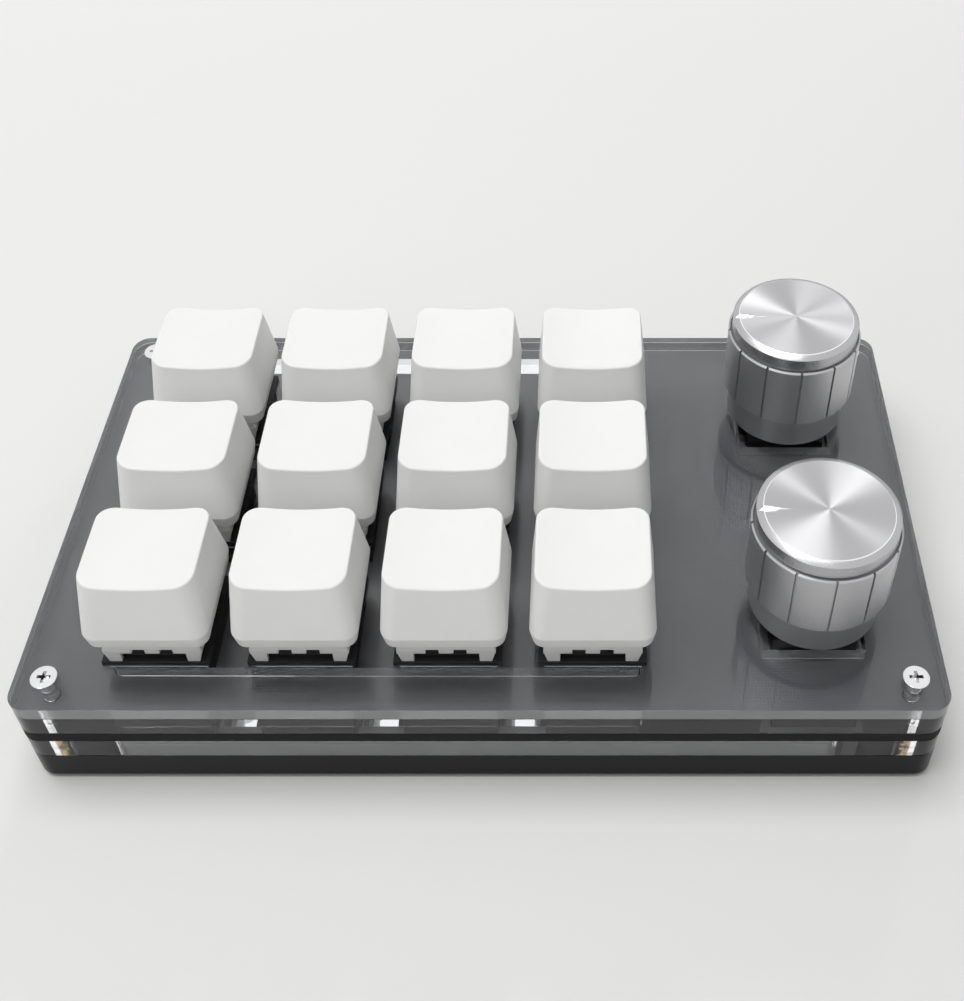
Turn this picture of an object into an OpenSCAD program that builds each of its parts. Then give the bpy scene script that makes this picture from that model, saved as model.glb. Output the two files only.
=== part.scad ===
// Macro keypad: twelve keys and two push knobs on a screwed stack of clear sheets.
// The origin is the centre of the footprint, at the undersides of the feet.
// +X points right, +Y to the back and +Z up. Lengths are in millimetres.

/* [Case] */
// Width of the case, left to right
case_w = 134; // [131:1:160]
// Depth of the case, front to back
case_d = 78; // [77:1:100]
// Radius of the case's upright corners
corner_r = 3; // [2:0.5:6]
// Thickness of the black base
base_t = 5.2; // [4.6:0.2:8]
// Thickness of the clear frame under the board
lower_t = 4; // [3.8:0.2:6]
// Thickness of the circuit board
board_t = 2; // [1.6:0.2:2.2]
// Thickness of the clear frame over the board
upper_t = 3.7; // [3.5:0.1:4.5]
// Thickness of the clear top plate
plate_t = 2.2; // [2:0.1:3]
// Height that the feet stand proud of the base
foot_proud = 1; // [0.6:0.2:2]

/* [Keys] */
// Gap between columns of keycaps. The gaps across share what the case's width leaves free
column_gap = 3; // [2:0.25:5]
// Gap between rows of keycaps. The gaps from front to back share what the case's depth leaves free
row_gap = 4; // [2:0.25:5]
// Gap between the case's left side and the keycaps
key_left = 11.1; // [9:0.1:14]
// Gap between the case's front and the keycaps
key_front = 6.2; // [5:0.1:9]
// Gap between the keycaps and the case's back
key_back = 9.8; // [7:0.1:12]
// Travel of a key
key_travel = 4; // [2.5:0.5:4]
// Width and depth of a keycap at the top of its band
cap_w = 18; // [17.8:0.2:19]
// Height of a keycap
cap_h = 11.5; // [11:0.25:13]
// Height of a keycap's rim over the plate
cap_gap = 5.7; // [5.5:0.1:6]
// Height of the band round a keycap's rim
cap_band_h = 2.3; // [1.5:0.1:3]
// Distance that each side of the band is drawn in at the rim
cap_tuck = 0.4; // [0:0.1:0.4]
// Width of a keycap's top
cap_top_w = 16.3; // [14:0.1:16.8]
// Depth of a keycap's top
cap_top_d = 14.7; // [13:0.1:15]
// Distance that a keycap's top lies behind its rim's centre
cap_top_back = 0.7; // [0:0.1:1]
// Depth of the hollow across a keycap's top
cap_dish = 0.9; // [0.3:0.1:1.2]

/* [Knobs] */
// Gap between the keycaps and the knobs
knob_left = 13.3; // [10:0.1:18]
// Gap between the knobs and the case's right side
knob_right = 7.2; // [6:0.1:10]
// Gap between the case's front and the front knob
knob_front = 8.1; // [6:0.1:12]
// Gap between the two knobs
knob_between = 19.3; // [12:0.1:24]
// Gap between the rear knob and the case's back
knob_back = 7.8; // [6:0.1:12]
// Radius of a knob's fluted body
knob_r = 10.7; // [10.5:0.1:11.5]
// Height of a knob, skirt and shell together
knob_h = 20.1; // [18.5:0.5:22]
// Gap between a knob's underside and the plate
knob_gap = 1.4; // [1:0.1:2]
// Radius of a knob's skirt
skirt_r = 9.7; // [8.8:0.1:9.7]
// Height of a knob's skirt
skirt_h = 6; // [5:0.5:7]
// Distance that a knob pushes in
push_travel = 0.5; // [0.3:0.1:0.6]

/* [Screws] */
// Screw axes from the case's sides
screw_inset = 4.8; // [4.4:0.1:6]
// Radius of a screw's shank
screw_r = 1; // [0.8:0.1:1.1]
// Radius of a screw's head
screw_head_r = 1.92; // [1.7:0.02:2.3]

/* [Hidden] */
// Smoothness of round faces, of the shallow hollow in a keycap and of blended corners
round_fn = 72;
dish_fn = 360;
blend_fn = 28;
// Overrun of every cut, gap between stacked sheets, and play of a guided fit
over = 0.4;
sheet_gap = 0.04;
play = 0.05;

// Heights of the sheets
base_z0 = foot_proud;
base_z1 = base_z0 + base_t;
lower_z0 = base_z1 + sheet_gap;
lower_z1 = lower_z0 + lower_t;
board_z0 = lower_z1 + sheet_gap;
board_z1 = board_z0 + board_t;
upper_z0 = board_z1 + sheet_gap;
upper_z1 = upper_z0 + upper_t;
plate_z0 = upper_z1 + sheet_gap;
plate_z1 = plate_z0 + plate_t;

// Places of the keys and the knobs. The gaps between them and the case's sides keep their proportions
ROWS = ["front", "middle", "rear"];
COLS = ["1", "2", "3", "4"];
KNOBS = ["front", "rear"];
last_row = len(ROWS) - 1;
last_col = len(COLS) - 1;
spread_x = (case_w - len(COLS) * cap_w - 2 * knob_r)
    / (key_left + last_col * column_gap + knob_left + knob_right);
spread_y = (case_d - len(ROWS) * cap_w) / (key_front + last_row * row_gap + key_back);
knob_spread = (case_d - 4 * knob_r) / (knob_front + knob_between + knob_back);
key_pitch_x = cap_w + column_gap * spread_x;
key_pitch_y = cap_w + row_gap * spread_y;
knob_pitch = 2 * knob_r + knob_between * knob_spread;
function key_x(col) = key_left * spread_x + cap_w / 2 - case_w / 2 + col * key_pitch_x;
function key_y(row) = key_front * spread_y + cap_w / 2 - case_d / 2 + row * key_pitch_y;
knob_x = case_w / 2 - knob_r - knob_right * spread_x;
function knob_y(k) = knob_front * knob_spread + knob_r - case_d / 2 + k * knob_pitch;
function key_node(piece, row, col) = str(piece, "_", ROWS[row], "_", COLS[col]);
function knob_node(piece, k) = str(piece, "_", KNOBS[k]);

// Switch body: square cut in the plate, body, flange, neck and hood, heights over the plate
sw_cut = 14.1;
sw_body = 13.9;
sw_flange = 15.6;
sw_flange_t = 1;
sw_neck = 13.2;
hood_gap = 2.9;
hood_h = 3.7;
hood_w = 14.2;
hood_d = 15.4;
hood_top = 11;
hood_band_h = 0.9;
hood_roof_t = 1;
hood_room = 10;
hood_z0 = plate_z1 + hood_gap;
hood_z1 = hood_z0 + hood_h;
// Clip feet and the notches between the bars of the hood
clip_in = 4.7;
clip_w = 1.8;
clip_slant = 0.5;
clip_t = 0.8;
notch_x = 2;
notch_w = 1.9;
notch_deep = 1.2;

// Slider, its shoulders, its cross and its guide pin
slider_w = 6;
slider_d = 5.6;
slider_low = 5;
slider_play = 0.12;
shoulder_w = 8.4;
shoulder_t = 0.9;
stop_gap = 0.08;
cross_l = 4;
cross_t = 1.15;
cross_h = 3.6;
pin_r = 1.04;
pin_grip = 1.2;
slider_z0 = hood_z1 - slider_low;
shoulder_z1 = hood_z1 - hood_roof_t - stop_gap;
shoulder_z0 = shoulder_z1 - shoulder_t;

// Recess for the shoulders, well for the spring, hollow post and the peg through the board
slide_room = 0.3;
well_r = 4.3;
well_floor_t = 0.8;
post_r = 1.6;
peg_r = 1.95;
peg_wall = 0.6;
peg_hole_r = 2;
well_z0 = board_z1 + well_floor_t;
post_z1 = slider_z0 - key_travel - slide_room;
pin_z0 = post_z1 - pin_grip;
bore_z0 = pin_z0 - key_travel - slide_room;
peg_z0 = bore_z0 - peg_wall;

// Spring
spring_r = 2.4;
spring_wall = 0.4;

// Contact legs and the light under a switch
leg_r = 0.5;
leg_hole_r = 0.55;
leg_seat = 0.6;
leg_proud = 1.4;
solder_r = 1.1;
solder_h = 0.8;
leg_one = [-3.81, 2.54];
leg_two = [2.54, 5.08];
light_w = 3.2;
light_d = 1.6;
light_h = 1.2;
light_y = -5.6;
light_room = 0.1;

// Keycap
cap_wall = 1;
cap_rim_wall = 0.8;
cap_roof_t = 1.5;
cap_slab_t = 0.05;
cap_corner_r = 2.2;
cap_top_r = 2;
boss_r = 2.75;
boss_gap = 0.1;
socket_play = 0.04;
cap_z0 = plate_z1 + cap_gap;
cap_z1 = cap_z0 + cap_h;
dish_r = (pow(cap_top_w / 2, 2) + pow(cap_dish, 2)) / (2 * cap_dish);

// Pocket in the upper frame round the switches
pocket_side = 7.4;
pocket_front = 7.2;
pocket_back_wall = 4.4;
pocket_r = 1.5;

// Pocket in the lower frame, from left of the first column to right of the knobs' axes
under_left = 7.9;
under_right = 3.4;
under_wall = 5;
under_r = 2;

// Encoder: cut in the upper frame, body under the plate, chamber, bushing, lugs and pins
enc_cut = 15.4;
enc_cut_left = 0.4;
enc_w = 12.7;
enc_d = 12;
enc_drop = 0.1;
enc_chamber_r = 4.6;
enc_floor_t = 0.5;
enc_roof_t = 0.6;
bushing_r = 3.5;
bushing_h = 5;
bushing_play = 0.25;
shaft_r = 3;
shaft_up = 15;
shaft_flat = 1.5;
shaft_flat_h = 8;
rotor_r = 4.4;
rotor_t = 0.6;
lug_w = 2.2;
lug_t = 0.5;
lug_under = 1.8;
lug_play = 0.2;
lug_window_w = 2.4;
lug_window_d = 4.4;
enc_pin_r = 0.4;
enc_pin_hole_r = 0.5;
enc_pin_pitch = 2.5;
enc_pin_y = 5.2;
plunger_r = 2;
plunger_t = 0.5;
plunger_gap = 0.05;
enc_z1 = plate_z0 - enc_drop;
chamber_z0 = board_z1 + enc_floor_t;
chamber_z1 = enc_z1 - enc_roof_t;
plunger_z0 = chamber_z0 + push_travel + plunger_gap;
shaft_z0 = plunger_z0 + plunger_t + plunger_gap;
shaft_z1 = plate_z1 + shaft_up;
bushing_z1 = enc_z1 + bushing_h;

// Knob: wall, roof, and the profile from the body's chamfer up to the face
knob_wall = 1.3;
knob_roof_t = 1.3;
chamfer = 0.25;
groove_h = 0.15;
groove_deep = 0.3;
neck_inset = 0.8;
band_inset = 0.55;
band_h = 2.15;
bevel_w = 0.9;
bevel_h = 0.5;
face_bevel = 0.15;
flute_count = 12;
flute_w = 0.36;
flute_deep = 0.3;
flute_over = 0.1;
pointer_in = 6.3;
pointer_half_w = 0.55;
pointer_deep = 0.45;
bushing_room = 0.5;
knob_z0 = plate_z1 + knob_gap;
knob_z1 = knob_z0 + knob_h;
shell_z0 = knob_z0 + skirt_h;
band_z0 = knob_z1 - bevel_h - band_h;
body_z1 = band_z0 - groove_h - chamfer;

// Screws, inserts and feet
screw_play = 0.12;
board_play = 0.2;
screw_hole_r = screw_r + screw_play;
board_hole_r = screw_r + board_play;
head_rim_t = 0.35;
head_cone_h = screw_head_r - screw_r;
head_z1 = plate_z1 + head_rim_t + screw_head_r - screw_hole_r + play;
recess_l = 2;
recess_w = 0.5;
recess_deep = 0.6;
insert_r = 1.75;
insert_waist = 0.25;
insert_in_base = 3.6;
insert_z0 = base_z1 - insert_in_base;
screw_z0 = insert_z0 + play;
foot_r = 4.5;
foot_seat = 1;
foot_inset = 11;
foot_edge = 0.4;

// USB socket, between the last two columns, and controller chip
usb_x = key_x(last_col) - key_pitch_x / 2;
usb_w = 8.94;
usb_t = 3.2;
usb_l = 7.4;
usb_wall = 0.3;
usb_back = 0.4;
usb_deep = 6;
usb_tongue_w = 6.7;
usb_tongue_t = 0.7;
usb_tongue_l = 4.6;
usb_notch_w = 10;
chip_w = 7;
chip_t = 1;
chip_legs = 8;
chip_leg_pitch = 0.8;
chip_leg_w = 0.35;
chip_leg_l = 0.9;
chip_leg_t = 0.2;

// Node names
FIXED_NODES = [
    "top_plate", "upper_frame", "circuit_board", "lower_frame", "base_plate", "corner_screws",
    "threaded_inserts", "rubber_feet", "usb_socket", "controller_chip", "key_lights",
    "switch_bases", "switch_hoods", "switch_contacts", "encoder_bodies", "encoder_bushings"
];
KEY_NODES = [for (p = ["keycap", "stem", "spring"], row = [0:last_row], col = [0:last_col])
    key_node(p, row, col)];
KNOB_NODES = [for (p = ["encoder_plunger", "encoder_shaft", "knob_core", "knob_shell"], k = [0, 1])
    knob_node(p, k)];

// Colours
CLEAR = [0.78, 0.82, 0.84, 0.35];
BLACK = [0.13, 0.13, 0.13];
WHITE = [0.96, 0.96, 0.95];
MILKY = [0.78, 0.78, 0.77];
SILVER = [0.75, 0.75, 0.76];
DARK_METAL = [0.38, 0.38, 0.39];
BRASS = [0.78, 0.66, 0.38];

// Shapes that repeat
module block(w, d, z0, z1) {
    translate([-w / 2, -d / 2, z0]) cube([w, d, z1 - z0]);
}

module rod(r, z0, z1) {
    translate([0, 0, z0]) cylinder(r = r, h = z1 - z0, $fn = round_fn);
}

module rounded_rect(w, d, r) {
    square([w - 2 * r, d], center = true);
    square([w, d - 2 * r], center = true);
    for (x = [-1, 1], y = [-1, 1])
        translate([x * (w / 2 - r), y * (d / 2 - r)]) circle(r = r, $fn = round_fn);
}

module rounded_block(x0, x1, y0, y1, r, z0, z1) {
    translate([(x0 + x1) / 2, (y0 + y1) / 2, z0])
        linear_extrude(z1 - z0) rounded_rect(x1 - x0, y1 - y0, r);
}

module sheet(z0, z1) {
    rounded_block(-case_w / 2, case_w / 2, -case_d / 2, case_d / 2, corner_r, z0, z1);
}

module at_keys() {
    for (row = [0:last_row], col = [0:last_col])
        translate([key_x(col), key_y(row), 0]) children();
}

module at_knobs() {
    for (k = [0, 1]) translate([knob_x, knob_y(k), 0]) children();
}

module at_corners(inset) {
    for (x = [-1, 1], y = [-1, 1])
        translate([x * (case_w / 2 - inset), y * (case_d / 2 - inset), 0]) children();
}

// Case
module top_plate() {
    color(CLEAR) difference() {
        sheet(plate_z0, plate_z1);
        at_keys() block(sw_cut, sw_cut, plate_z0 - over, plate_z1 + over);
        at_knobs() rod(bushing_r + bushing_play, plate_z0 - over, plate_z1 + over);
        at_corners(screw_inset) rod(screw_hole_r, plate_z0 - over, plate_z1 + over);
    }
}

module upper_frame() {
    color(CLEAR) difference() {
        sheet(upper_z0, upper_z1);
        rounded_block(key_x(0) - pocket_side, key_x(last_col) + pocket_side,
            key_y(0) - pocket_front, case_d / 2 - pocket_back_wall,
            pocket_r, upper_z0 - over, upper_z1 + over);
        at_knobs() translate([-enc_cut_left, 0, 0]) block(enc_cut, enc_cut, upper_z0 - over, upper_z1 + over);
        at_corners(screw_inset) rod(screw_hole_r, upper_z0 - over, upper_z1 + over);
    }
}

module circuit_board() {
    color(BLACK) difference() {
        sheet(board_z0, board_z1);
        at_keys() {
            rod(peg_hole_r, board_z0 - over, board_z1 + over);
            for (p = [leg_one, leg_two]) translate(p) rod(leg_hole_r, board_z0 - over, board_z1 + over);
        }
        at_knobs() {
            at_lugs() block(lug_t + 2 * lug_play, lug_w + 2 * lug_play, board_z0 - over, board_z1 + over);
            at_encoder_pins() rod(enc_pin_hole_r, board_z0 - over, board_z1 + over);
        }
        at_corners(screw_inset) rod(board_hole_r, board_z0 - over, board_z1 + over);
    }
}

module lower_frame() {
    color(CLEAR) difference() {
        sheet(lower_z0, lower_z1);
        rounded_block(key_x(0) - under_left, knob_x + under_right,
            under_wall - case_d / 2, case_d / 2 - under_wall, under_r, lower_z0 - over, lower_z1 + over);
        at_knobs() at_lugs() block(lug_window_w, lug_window_d, lower_z0 - over, lower_z1 + over);
        translate([usb_x, case_d / 2, 0])
            block(usb_notch_w, 2 * (under_wall + over), lower_z0 - over, lower_z1 + over);
        at_corners(screw_inset) rod(insert_r + play, lower_z0 - over, lower_z1 + over);
    }
}

module base_plate() {
    color(BLACK) difference() {
        sheet(base_z0, base_z1);
        at_corners(screw_inset) rod(insert_r + play, insert_z0, base_z1 + over);
        at_corners(foot_inset) rod(foot_r + play, base_z0 - over, base_z0 + foot_seat);
    }
}

module corner_screws() {
    cone_z0 = head_z1 - head_rim_t - head_cone_h;
    color(SILVER) at_corners(screw_inset) difference() {
        rotate_extrude($fn = round_fn) polygon([
            [0, screw_z0], [screw_r, screw_z0], [screw_r, cone_z0],
            [screw_head_r, head_z1 - head_rim_t], [screw_head_r, head_z1], [0, head_z1]
        ]);
        block(recess_l, recess_w, head_z1 - recess_deep, head_z1 + over);
        block(recess_w, recess_l, head_z1 - recess_deep, head_z1 + over);
    }
}

module threaded_inserts() {
    waist_z0 = base_z1 + lower_t / 4;
    waist_z1 = base_z1 + lower_t / 2;
    color(BRASS) at_corners(screw_inset) rotate_extrude($fn = round_fn) polygon([
        [screw_r + play, insert_z0], [insert_r, insert_z0],
        [insert_r, waist_z0], [insert_r - insert_waist, waist_z0],
        [insert_r - insert_waist, waist_z1], [insert_r, waist_z1],
        [insert_r, lower_z1], [screw_r + play, lower_z1]
    ]);
}

module rubber_feet() {
    color(BLACK) at_corners(foot_inset) rotate_extrude($fn = round_fn) polygon([
        [0, 0], [foot_r - foot_edge, 0], [foot_r, foot_edge],
        [foot_r, base_z0 + foot_seat], [0, base_z0 + foot_seat]
    ]);
}

// A flat-sided tube end with round left and right sides, lying along Y
module usb_profile(w, t, l) {
    rotate([90, 0, 0]) linear_extrude(l) {
        square([w - t, t], center = true);
        for (x = [-1, 1]) translate([x * (w - t) / 2, 0]) circle(r = t / 2, $fn = round_fn);
    }
}

module usb_socket() {
    mouth_y = case_d / 2 - usb_back;
    color(SILVER) translate([usb_x, mouth_y, board_z0 - usb_t / 2]) {
        difference() {
            usb_profile(usb_w, usb_t, usb_l);
            translate([0, over, 0])
                usb_profile(usb_w - 2 * usb_wall, usb_t - 2 * usb_wall, usb_deep + over);
        }
        translate([-usb_tongue_w / 2, -usb_deep, -usb_tongue_t / 2])
            cube([usb_tongue_w, usb_tongue_l, usb_tongue_t]);
    }
}

module controller_chip() {
    row_start = -(chip_legs - 1) / 2 * chip_leg_pitch;
    color(BLACK) translate([key_x(1) + key_pitch_x / 2, key_y(1) + key_pitch_y / 2, 0]) {
        block(chip_w, chip_w, board_z0 - chip_t, board_z0);
        for (side = [0:3], i = [0:chip_legs - 1])
            rotate([0, 0, 90 * side])
                translate([chip_w / 2 + chip_leg_l / 2, row_start + i * chip_leg_pitch, 0])
                    block(chip_leg_l, chip_leg_w, board_z0 - chip_leg_t, board_z0);
    }
}

// Switches
module key_lights() {
    color(WHITE) at_keys() translate([0, light_y, 0])
        block(light_w, light_d, board_z1, board_z1 + light_h);
}

module switch_bases() {
    pocket_w = light_w + 2 * light_room;
    pocket_d = light_d + 2 * light_room;
    color(BLACK) at_keys() difference() {
        union() {
            difference() {
                union() {
                    block(sw_body, sw_body, board_z1, plate_z1);
                    block(sw_flange, sw_flange, plate_z1, plate_z1 + sw_flange_t);
                    block(sw_neck, sw_neck, plate_z1, hood_z0);
                    rod(peg_r, peg_z0, board_z1);
                }
                block(shoulder_w + 2 * slide_room, slider_d + 2 * slide_room,
                    shoulder_z0 - key_travel - slide_room, hood_z0 + over);
                rod(well_r, well_z0, hood_z0 + over);
            }
            rod(post_r, board_z1, post_z1);
        }
        rod(pin_r + play, bore_z0, post_z1 + over);
        translate([0, light_y, 0]) block(pocket_w, pocket_d, board_z1 - over, board_z1 + light_h + light_room);
        for (p = [leg_one, leg_two]) translate(p) rod(leg_hole_r, board_z1 - over, board_z1 + leg_seat);
    }
}

// Trapezoid outline of the hood, upright for the first stretch and then drawn in
module hood_outline(w, l) {
    translate([0, l / 2, 0]) rotate([90, 0, 0]) linear_extrude(l) polygon([
        [-w / 2, hood_z0], [w / 2, hood_z0], [w / 2, hood_z0 + hood_band_h],
        [hood_top / 2, hood_z1], [-hood_top / 2, hood_z1], [-w / 2, hood_z0 + hood_band_h]
    ]);
}

module clip_foot() {
    foot_z0 = plate_z1 + sw_flange_t;
    translate([0, hood_d / 2, 0]) rotate([90, 0, 0]) linear_extrude(clip_t) polygon([
        [clip_in, foot_z0], [clip_in + clip_w, foot_z0],
        [clip_in + clip_w + clip_slant, hood_z0], [clip_in, hood_z0]
    ]);
}

module switch_hoods() {
    color(MILKY) at_keys() {
        difference() {
            intersection() {
                hood_outline(hood_w, hood_d);
                rotate([0, 0, 90]) hood_outline(hood_d, hood_w);
            }
            block(hood_room, hood_room, hood_z0 - over, hood_z1 - hood_roof_t);
            block(slider_w + 2 * slider_play, slider_d + 2 * slider_play, hood_z0, hood_z1 + over);
            for (x = [-notch_x, notch_x], y = [-1, 1])
                translate([x, y * hood_d / 2, 0])
                    block(notch_w, 2 * notch_deep, hood_z0 - over, hood_z0 + hood_band_h);
        }
        for (x = [0, 1], y = [0, 1]) mirror([x, 0, 0]) mirror([0, y, 0]) clip_foot();
    }
}

module switch_contacts() {
    color(BRASS) at_keys() for (p = [leg_one, leg_two]) translate(p) {
        rod(leg_r, board_z0 - leg_proud, board_z1 + leg_seat);
        translate([0, 0, board_z0 - solder_h])
            cylinder(r1 = leg_r, r2 = solder_r, h = solder_h, $fn = round_fn);
    }
}

// One key: stem, spring and cap
module stem(row, col) {
    color(MILKY) translate([key_x(col), key_y(row), 0]) {
        block(slider_w, slider_d, slider_z0, hood_z1);
        block(shoulder_w, slider_d, shoulder_z0, shoulder_z1);
        block(cross_l, cross_t, hood_z1, hood_z1 + cross_h);
        block(cross_t, cross_l, hood_z1, hood_z1 + cross_h);
        rod(pin_r, pin_z0, slider_z0);
    }
}

module spring(row, col) {
    color(SILVER) translate([key_x(col), key_y(row), 0]) difference() {
        rod(spring_r, well_z0, slider_z0);
        rod(spring_r - spring_wall, well_z0 - over, slider_z0 + over);
    }
}

// A thin slab of the cap's outline, drawn in by a wall
module cap_slab(w, d, r, back, wall, z) {
    translate([0, back, z]) linear_extrude(cap_slab_t)
        for (x = [-1, 1], y = [-1, 1])
            translate([x * (w / 2 - r), y * (d / 2 - r)]) circle(r = r - wall, $fn = blend_fn);
}

module keycap(row, col) {
    band_z1 = cap_z0 + cap_band_h;
    rim_w = cap_w - 2 * cap_tuck;
    roof_z = cap_z1 - cap_dish - cap_roof_t;
    boss_z0 = hood_z1 + boss_gap;
    color(WHITE) translate([key_x(col), key_y(row), 0]) difference() {
        union() {
            difference() {
                hull() {
                    cap_slab(rim_w, rim_w, cap_corner_r, 0, 0, cap_z0);
                    cap_slab(cap_w, cap_w, cap_corner_r, 0, 0, band_z1 - cap_slab_t);
                    cap_slab(cap_top_w, cap_top_d, cap_top_r, cap_top_back, 0, cap_z1 - cap_slab_t);
                }
                hull() {
                    cap_slab(rim_w, rim_w, cap_corner_r, 0, cap_rim_wall, cap_z0 - over);
                    cap_slab(cap_w, cap_w, cap_corner_r, 0, cap_wall, band_z1);
                    cap_slab(cap_top_w, cap_top_d, cap_top_r, cap_top_back, cap_wall, roof_z);
                }
                translate([0, cap_w, cap_z1 - cap_dish + dish_r]) rotate([90, 0, 0])
                    cylinder(r = dish_r, h = 2 * cap_w, $fn = dish_fn);
            }
            rod(boss_r, boss_z0, roof_z + over);
        }
        for (turn = [0, 90]) rotate([0, 0, turn])
            block(cross_l + 2 * socket_play, cross_t + 2 * socket_play, boss_z0 - over,
                hood_z1 + cross_h + socket_play);
    }
}

// Encoders
module at_lugs() {
    for (x = [-1, 1]) translate([x * (enc_w + lug_t) / 2, 0, 0]) children();
}

module at_encoder_pins() {
    for (x = [-enc_pin_pitch, 0, enc_pin_pitch]) translate([x, -enc_pin_y, 0]) children();
    for (x = [-enc_pin_pitch, enc_pin_pitch]) translate([x, enc_pin_y, 0]) children();
}

module encoder_bodies() {
    color(SILVER) at_knobs() {
        difference() {
            block(enc_w, enc_d, board_z1, enc_z1);
            rod(enc_chamber_r, chamber_z0, chamber_z1);
            rod(shaft_r + play, chamber_z0, enc_z1 + over);
        }
        at_lugs() block(lug_t, lug_w, board_z0 - lug_under, enc_z1 - enc_roof_t);
        at_encoder_pins() rod(enc_pin_r, board_z0, board_z1);
    }
}

module encoder_bushings() {
    color(SILVER) at_knobs() difference() {
        rod(bushing_r, enc_z1, bushing_z1);
        rod(shaft_r + play, enc_z1 - over, bushing_z1 + over);
    }
}

module encoder_plunger(k) {
    color(BLACK) translate([knob_x, knob_y(k), 0]) rod(plunger_r, plunger_z0, plunger_z0 + plunger_t);
}

// D-shaped rod: round below the flat's start, cut flat above it
module d_shaft(extra, z0, z1) {
    flat_z0 = shaft_z1 - shaft_flat_h - extra;
    difference() {
        rod(shaft_r + extra, z0, z1);
        translate([-2 * shaft_r, shaft_flat + extra, flat_z0])
            cube([4 * shaft_r, 2 * shaft_r, z1 - flat_z0 + over]);
    }
}

module encoder_shaft(k) {
    color(SILVER) translate([knob_x, knob_y(k), 0]) {
        d_shaft(0, shaft_z0, shaft_z1);
        rod(rotor_r, shaft_z0 + plunger_gap, shaft_z0 + plunger_gap + rotor_t);
    }
}

module knob_core(k) {
    plug_r = knob_r - knob_wall - play;
    room_z1 = bushing_z1 + push_travel + bushing_room;
    color(DARK_METAL) translate([knob_x, knob_y(k), 0]) difference() {
        union() {
            rod(skirt_r, knob_z0, shell_z0);
            rod(plug_r, shell_z0, knob_z1 - knob_roof_t - play);
        }
        rod(bushing_r + bushing_room, knob_z0 - over, room_z1);
        d_shaft(socket_play, knob_z0, shaft_z1 + bushing_room);
    }
}

module knob_shell(k) {
    neck_r = knob_r - neck_inset;
    band_r = knob_r - band_inset;
    face_r = band_r - bevel_w;
    inner_r = knob_r - knob_wall;
    color(SILVER) translate([knob_x, knob_y(k), 0]) difference() {
        rotate_extrude($fn = round_fn) polygon([
            [inner_r, shell_z0], [knob_r, shell_z0], [knob_r, body_z1],
            [knob_r - chamfer, body_z1 + chamfer], [neck_r, body_z1 + chamfer - groove_deep],
            [neck_r, band_z0], [band_r, band_z0],
            [band_r, knob_z1 - bevel_h], [face_r, knob_z1 - face_bevel], [face_r - face_bevel, knob_z1],
            [0, knob_z1], [0, knob_z1 - knob_roof_t], [inner_r, knob_z1 - knob_roof_t]
        ]);
        for (i = [0:flute_count - 1]) rotate([0, 0, i * 360 / flute_count])
            translate([knob_r, 0, 0])
                block(2 * flute_deep, flute_w, shell_z0 - over, body_z1 + flute_over);
        translate([0, 0, knob_z1 - pointer_deep]) linear_extrude(pointer_deep + over) polygon([
            [-pointer_in, 0], [-knob_r - over, pointer_half_w], [-knob_r - over, -pointer_half_w]
        ]);
    }
}

// Drawing
top_plate();
upper_frame();
circuit_board();
lower_frame();
base_plate();
corner_screws();
threaded_inserts();
rubber_feet();
usb_socket();
controller_chip();
key_lights();
switch_bases();
switch_hoods();
switch_contacts();
encoder_bodies();
encoder_bushings();
for (row = [0:last_row], col = [0:last_col]) {
    keycap(row, col);
    stem(row, col);
    spring(row, col);
}
for (k = [0, 1]) {
    encoder_plunger(k);
    encoder_shaft(k);
    knob_core(k);
    knob_shell(k);
}
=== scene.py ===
"""Macro keypad with knobs: the looks of twelve keys and two push knobs on a screwed stack of clear sheets.

Lengths are in metres. +X points right, +Y to the back and +Z up, and the desk is at z = 0.
"""

import math

import bmesh
import bpy
from bpy.props import FloatProperty, FloatVectorProperty, IntProperty, PointerProperty
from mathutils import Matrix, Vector


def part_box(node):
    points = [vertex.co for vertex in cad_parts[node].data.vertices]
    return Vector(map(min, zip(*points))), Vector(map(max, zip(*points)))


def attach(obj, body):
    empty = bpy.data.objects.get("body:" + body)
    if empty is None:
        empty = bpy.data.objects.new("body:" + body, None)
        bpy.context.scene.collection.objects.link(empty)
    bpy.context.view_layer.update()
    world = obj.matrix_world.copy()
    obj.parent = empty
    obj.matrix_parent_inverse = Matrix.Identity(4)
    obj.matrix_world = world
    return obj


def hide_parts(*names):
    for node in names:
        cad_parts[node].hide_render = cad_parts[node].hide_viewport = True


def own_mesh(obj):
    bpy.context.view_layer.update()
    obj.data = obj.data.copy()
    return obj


bl_info = {
    "name": "Macro keypad",
    "version": (1, 0, 0),
    "blender": (4, 5, 0),
    "location": "View3D > Sidebar > Keypad",
    "description": "Dresses the packed macro keypad: clear sheets, keycaps, switches, knobs and screws",
    "category": "Object",
}

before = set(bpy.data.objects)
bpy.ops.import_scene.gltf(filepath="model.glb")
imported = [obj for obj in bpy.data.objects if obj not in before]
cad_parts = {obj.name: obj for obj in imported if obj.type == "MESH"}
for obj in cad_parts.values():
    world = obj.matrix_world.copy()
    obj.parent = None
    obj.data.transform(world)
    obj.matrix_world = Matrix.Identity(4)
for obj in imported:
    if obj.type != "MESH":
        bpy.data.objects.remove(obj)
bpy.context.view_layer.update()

MM = 0.001
ROWS = ("front", "middle", "rear")
COLUMNS = ("1", "2", "3", "4")
KEYS = [(row, column) for row in ROWS for column in COLUMNS]
KNOBS = ("front", "rear")
CORNERS = [(x, y) for x in (-1, 1) for y in (-1, 1)]
# Where a switch's two legs stand, from its centre
LEGS = [(-3.81 * MM, 2.54 * MM), (2.54 * MM, 5.08 * MM)]
WELD = 0.0005 * MM
SCREW_HEAD_R = 1.92 * MM
SHEET_ARC_STEPS = 12
SHARP_ANGLE = math.radians(32)
FLAT_ANGLE = math.radians(10)

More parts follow.
